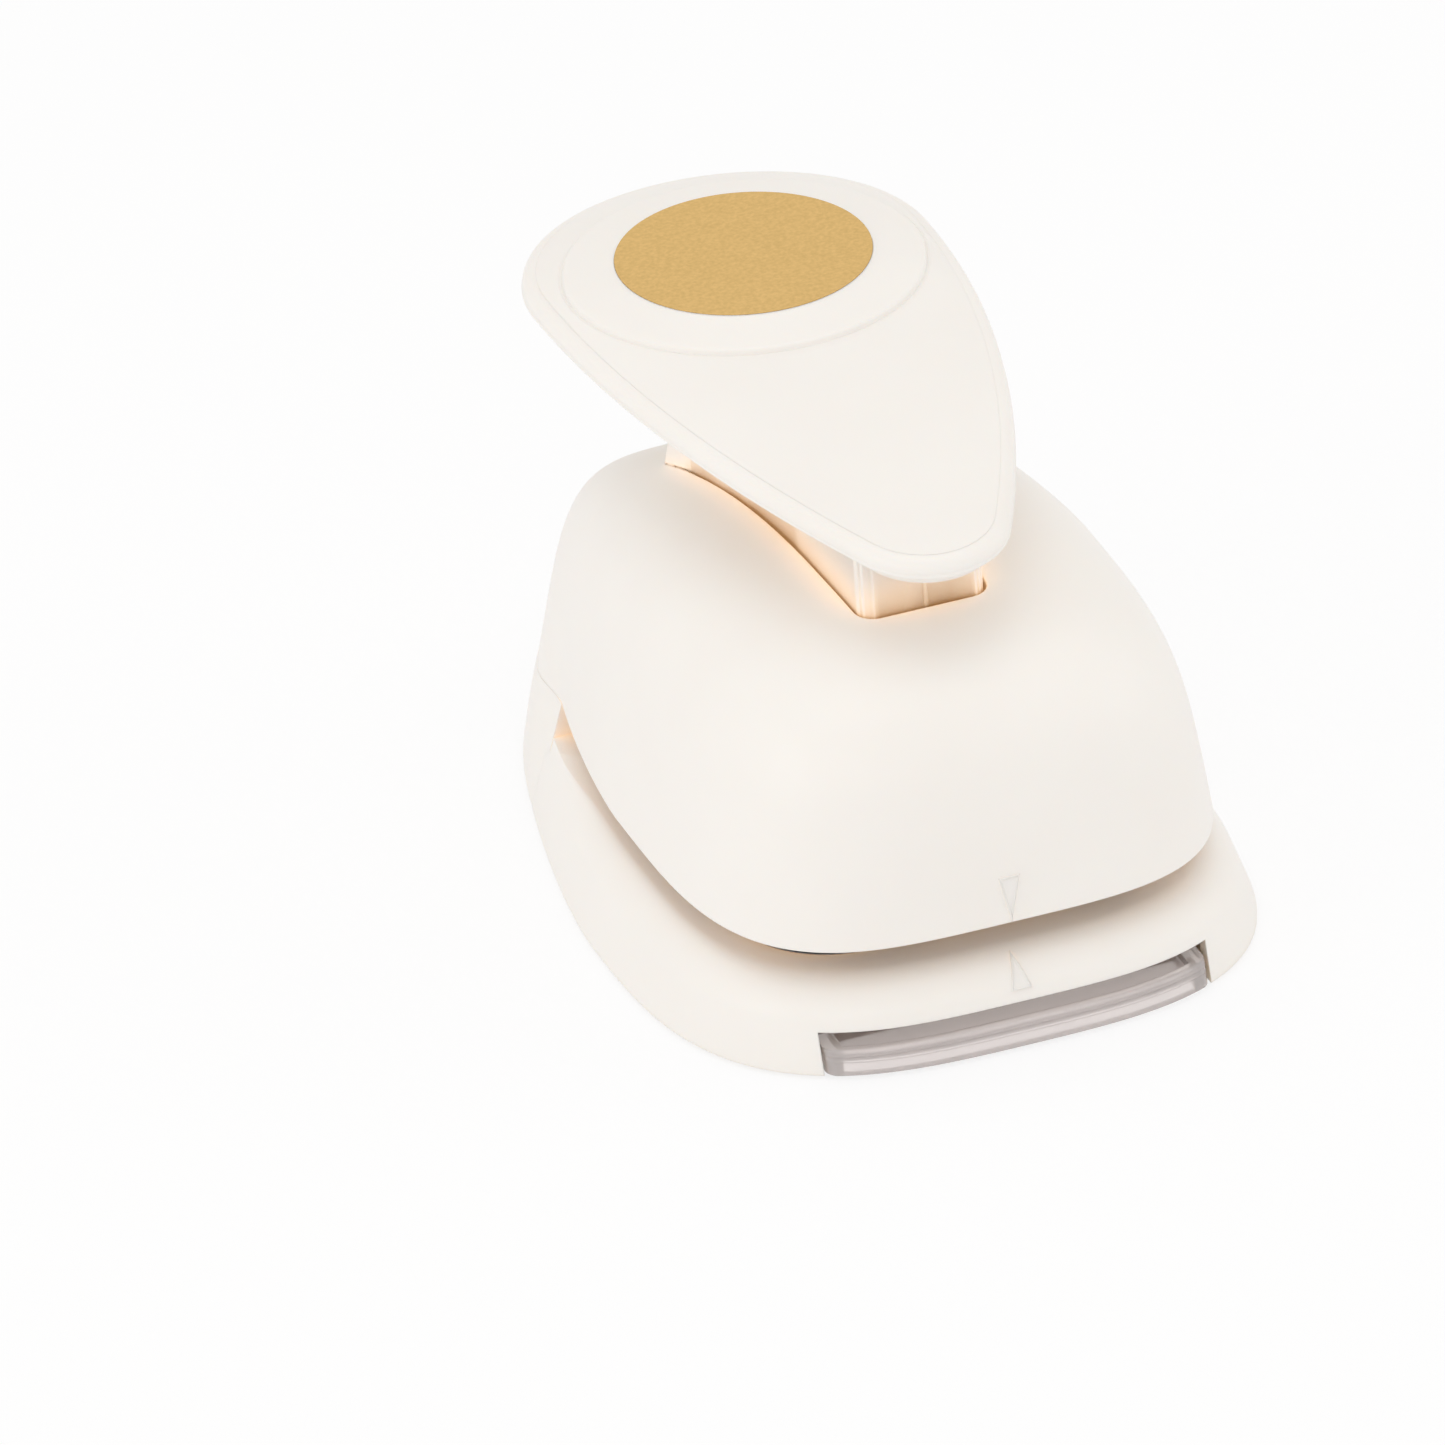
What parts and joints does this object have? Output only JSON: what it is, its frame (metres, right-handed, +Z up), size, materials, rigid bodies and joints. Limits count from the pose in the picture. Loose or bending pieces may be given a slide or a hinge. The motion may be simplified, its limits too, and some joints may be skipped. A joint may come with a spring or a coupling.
{
  "type": "craft punch",
  "caption": "Lever-operated paper punch: flared body with a domed housing and paper throat, a long teardrop press pad on a pivoting lever, a round cutter and a clear pull-out chip tray.",
  "frame": {"origin": "middle of the bounding box's footprint on the table", "axes": "+X to the right, -Y towards the front where the paper goes in, +Z up"},
  "size_m": [0.1044, 0.1537, 0.0882],
  "materials": {
    "cream_body": "satin",
    "cream_lever": "satin",
    "gold": "fine matte gold, anodised",
    "smoky_clear": "clear smoky plastic",
    "foot_rubber": "matte",
    "tool_steel": "ground",
    "plated_steel": "zinc plated",
    "spring_wire": "drawn wire",
    "cast_metal": "die cast"
  },
  "bodies": {
    "body": {"base_shell": "cream_body", "housing": "cream_body", "housing_screws": "plated_steel", "bottom_cover": "cream_body", "cover_screws": "plated_steel", "rubber_feet": "foot_rubber", "die_plate": "tool_steel", "throat_spacer": "tool_steel", "guide_plate": "tool_steel", "plate_rivets": "plated_steel", "die_screws": "plated_steel", "pivot_bracket": "plated_steel", "bracket_screws": "plated_steel", "pivot_pin": "tool_steel", "pivot_clips": "plated_steel", "guide_posts": "tool_steel", "post_rings": "plated_steel", "return_spring_left": "spring_wire", "return_spring_right": "spring_wire"},
    "lever": {"lever_shell": "cream_lever", "lever_cap": "cream_lever", "cap_screws": "plated_steel", "pad_disc": "gold", "press_bar": "tool_steel"},
    "punch": {"punch_holder": "cast_metal", "punch_cutter": "tool_steel", "cutter_screws": "plated_steel", "wear_plate": "tool_steel"},
    "tray": {"chip_tray": "smoky_clear"}
  },
  "joints": [
    {"name": "lever_press", "type": "hinge", "parent": "body", "child": "lever", "pos_m": [0, -0.0537, 0.042], "axis": [-1, 0, 0], "range_deg": [0, 11], "stiffness_Nm_per_rad": 1.5, "springref_deg": -20.05},
    {"name": "punch_slide", "type": "slide", "parent": "body", "child": "punch", "axis": [0, 0, -1], "range_m": [0, 0.0056], "deforming": ["return_spring_left", "return_spring_right"]},
    {"name": "tray_slide", "type": "slide", "parent": "body", "child": "tray", "axis": [0, -1, 0], "range_m": [0, 0.055]}
  ],
  "couplings": [
    {"joint": "punch_slide", "follows": "lever_press", "m_per_rad": 0.028}
  ]
}
